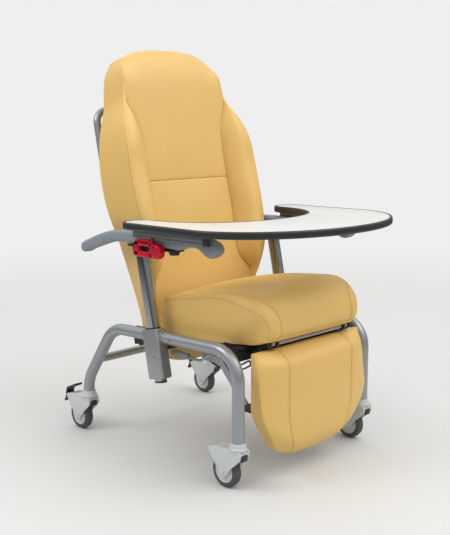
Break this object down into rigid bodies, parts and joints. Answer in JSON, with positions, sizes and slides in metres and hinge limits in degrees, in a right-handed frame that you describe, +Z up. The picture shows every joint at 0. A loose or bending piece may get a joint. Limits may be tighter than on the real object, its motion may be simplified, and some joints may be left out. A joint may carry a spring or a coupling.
{
  "type": "patient recliner chair",
  "caption": "Wheeled hospital recliner with an upholstered winged back, seat and legrest, sliding tray on height-adjustable armrests, push bar and braked casters.",
  "frame": {"origin": "on the floor, below the middle of the whole chair's box", "axes": "+Z up, the sitter faces -Y, the sitter's right hand is at -X"},
  "size_m": [0.81, 1.0692, 1.3218],
  "materials": {
    "ochre_vinyl": "smooth coated upholstery vinyl, satin",
    "grey_paint": "silver-grey powder coat on steel tube",
    "black_steel": "black powder coat, satin",
    "chrome": "polished plating",
    "grey_moulded_foam": "moulded polyurethane skin, matt",
    "black_plastic": "moulded, satin",
    "red_plastic": "moulded, semi-gloss",
    "off_white_laminate": "decorative laminate on board",
    "aluminium": "anodised extrusion",
    "black_stained_plywood": "stained, matt",
    "caster_plastic": "moulded nylon, light grey",
    "tyre_rubber": "grey non-marking rubber"
  },
  "bodies": {
    "chassis": {"front_leg_tube_right": "grey_paint", "front_leg_tube_left": "grey_paint", "rear_leg_tube_right": "grey_paint", "rear_leg_tube_left": "grey_paint", "post_sleeve_right": "grey_paint", "post_sleeve_left": "grey_paint", "sleeve_bush_right": "black_plastic", "sleeve_bush_left": "black_plastic", "rear_cross_tube": "grey_paint", "seat_frame": "black_steel", "seat_board": "black_stained_plywood", "seat_cushion": "ochre_vinyl", "back_hinge_bracket_right": "black_steel", "back_hinge_bracket_left": "black_steel", "legrest_hinge_rod": "chrome", "stay_rail": "black_steel"},
    "backrest": {"back_frame": "black_steel", "back_shell": "ochre_vinyl", "back_cushion": "ochre_vinyl", "push_bar": "grey_paint"},
    "legrest": {"legrest_frame": "black_steel", "legrest_board": "ochre_vinyl", "legrest_cushion": "ochre_vinyl"},
    "stay": {"legrest_stay": "grey_paint"},
    "gas_cylinder": {"gas_spring_cylinder": "black_steel"},
    "gas_rod": {"gas_spring_rod": "chrome"},
    "release_lever": {"release_lever_rod": "chrome", "release_lever_grip": "grey_moulded_foam"},
    "armrest_right": {"arm_post_right": "chrome", "arm_bracket_right": "black_steel", "arm_pad_right": "grey_moulded_foam", "post_plug_right": "black_plastic", "tray_clamp_right": "red_plastic"},
    "clamp_lever_right": {"tray_clamp_lever_right": "red_plastic"},
    "armrest_left": {"arm_post_left": "chrome", "arm_bracket_left": "black_steel", "arm_pad_left": "grey_moulded_foam", "post_plug_left": "black_plastic", "tray_clamp_left": "red_plastic"},
    "clamp_lever_left": {"tray_clamp_lever_left": "red_plastic"},
    "tray": {"tray_panel": "off_white_laminate", "tray_edging": "black_plastic", "tray_rail_right": "aluminium", "tray_rail_left": "aluminium", "tray_rail_cap_right": "black_plastic", "tray_rail_cap_left": "black_plastic"},
    "front_right_swivel": {"front_right_caster_fork": "caster_plastic"},
    "front_right_wheel": {"front_right_caster_tyre": "tyre_rubber", "front_right_caster_hub": "caster_plastic"},
    "front_left_swivel": {"front_left_caster_fork": "caster_plastic"},
    "front_left_wheel": {"front_left_caster_tyre": "tyre_rubber", "front_left_caster_hub": "caster_plastic"},
    "rear_right_swivel": {"rear_right_caster_fork": "caster_plastic"},
    "rear_right_wheel": {"rear_right_caster_tyre": "tyre_rubber", "rear_right_caster_hub": "caster_plastic"},
    "rear_right_pedal": {"rear_right_brake_pedal": "black_plastic"},
    "rear_left_swivel": {"rear_left_caster_fork": "caster_plastic"},
    "rear_left_wheel": {"rear_left_caster_tyre": "tyre_rubber", "rear_left_caster_hub": "caster_plastic"},
    "rear_left_pedal": {"rear_left_brake_pedal": "black_plastic"}
  },
  "joints": [
    {"name": "recline", "type": "hinge", "parent": "chassis", "child": "backrest", "pos_m": [0, 0.1406, 0.372], "axis": [-1, 0, 0], "range_deg": [0, 35]},
    {"name": "legrest_lift", "type": "hinge", "parent": "chassis", "child": "legrest", "pos_m": [0, -0.3494, 0.428], "axis": [-1, 0, 0], "range_deg": [0, 58]},
    {"name": "stay_swing", "type": "hinge", "parent": "legrest", "child": "stay", "pos_m": [0, -0.2844, 0.225], "axis": [1, 0, 0], "range_deg": [0, 50]},
    {"name": "gas_cylinder_swing", "type": "hinge", "parent": "chassis", "child": "gas_cylinder", "pos_m": [0.243, -0.2264, 0.345], "axis": [1, 0, 0], "range_deg": [0, 3.5]},
    {"name": "gas_rod_slide", "type": "slide", "parent": "gas_cylinder", "child": "gas_rod", "axis": [0, 0.9838, -0.1795], "range_m": [-0.051, 0]},
    {"name": "release_lift", "type": "hinge", "parent": "chassis", "child": "release_lever", "pos_m": [0, -0.1794, 0.383], "axis": [1, 0, 0], "range_deg": [0, 15], "stiffness_Nm_per_rad": 2, "springref_deg": -5.73},
    {"name": "armrest_height_right", "type": "slide", "parent": "chassis", "child": "armrest_right", "axis": [0, 0.2079, 0.9781], "range_m": [0, 0.08]},
    {"name": "armrest_height_left", "type": "slide", "parent": "chassis", "child": "armrest_left", "axis": [0, 0.2079, 0.9781], "range_m": [0, 0.08]},
    {"name": "tray_slide", "type": "slide", "parent": "armrest_right", "child": "tray", "axis": [0, -0.9999, 0.0133], "range_m": [-0.03, 0.06]},
    {"name": "clamp_turn_right", "type": "hinge", "parent": "armrest_right", "child": "clamp_lever_right", "pos_m": [0, -0.0304, 0.692], "axis": [1, 0, 0], "range_deg": [0, 60]},
    {"name": "clamp_turn_left", "type": "hinge", "parent": "armrest_left", "child": "clamp_lever_left", "pos_m": [0, -0.0304, 0.692], "axis": [1, 0, 0], "range_deg": [0, 60]},
    {"name": "front_right_swivel_turn", "type": "hinge", "parent": "chassis", "child": "front_right_swivel", "pos_m": [-0.302, -0.3314, 0.1], "axis": [0, 0, 1], "continuous": true},
    {"name": "front_right_wheel_turn", "type": "hinge", "parent": "front_right_swivel", "child": "front_right_wheel", "pos_m": [-0.302, -0.2844, 0.05], "axis": [1, 0, 0], "continuous": true},
    {"name": "front_left_swivel_turn", "type": "hinge", "parent": "chassis", "child": "front_left_swivel", "pos_m": [0.302, -0.3314, 0.1], "axis": [0, 0, 1], "continuous": true},
    {"name": "front_left_wheel_turn", "type": "hinge", "parent": "front_left_swivel", "child": "front_left_wheel", "pos_m": [0.302, -0.2844, 0.05], "axis": [1, 0, 0], "continuous": true},
    {"name": "rear_right_swivel_turn", "type": "hinge", "parent": "chassis", "child": "rear_right_swivel", "pos_m": [-0.302, 0.4026, 0.1], "axis": [0, 0, 1], "continuous": true},
    {"name": "rear_right_wheel_turn", "type": "hinge", "parent": "rear_right_swivel", "child": "rear_right_wheel", "pos_m": [-0.302, 0.4496, 0.05], "axis": [1, 0, 0], "continuous": true},
    {"name": "rear_right_brake_press", "type": "hinge", "parent": "rear_right_swivel", "child": "rear_right_pedal", "pos_m": [-0.302, 0.4966, 0.115], "axis": [-1, 0, 0], "range_deg": [0, 15]},
    {"name": "rear_left_swivel_turn", "type": "hinge", "parent": "chassis", "child": "rear_left_swivel", "pos_m": [0.302, 0.4026, 0.1], "axis": [0, 0, 1], "continuous": true},
    {"name": "rear_left_wheel_turn", "type": "hinge", "parent": "rear_left_swivel", "child": "rear_left_wheel", "pos_m": [0.302, 0.4496, 0.05], "axis": [1, 0, 0], "continuous": true},
    {"name": "rear_left_brake_press", "type": "hinge", "parent": "rear_left_swivel", "child": "rear_left_pedal", "pos_m": [0.302, 0.4966, 0.115], "axis": [-1, 0, 0], "range_deg": [0, 15]}
  ],
  "couplings": [
    {"joint": "stay_swing", "follows": "legrest_lift", "ratio": 0.85},
    {"joint": "gas_cylinder_swing", "follows": "recline", "ratio": 0.09629},
    {"joint": "gas_rod_slide", "follows": "recline", "m_per_rad": -0.082843},
    {"joint": "armrest_height_left", "follows": "armrest_height_right", "ratio": 1}
  ]
}
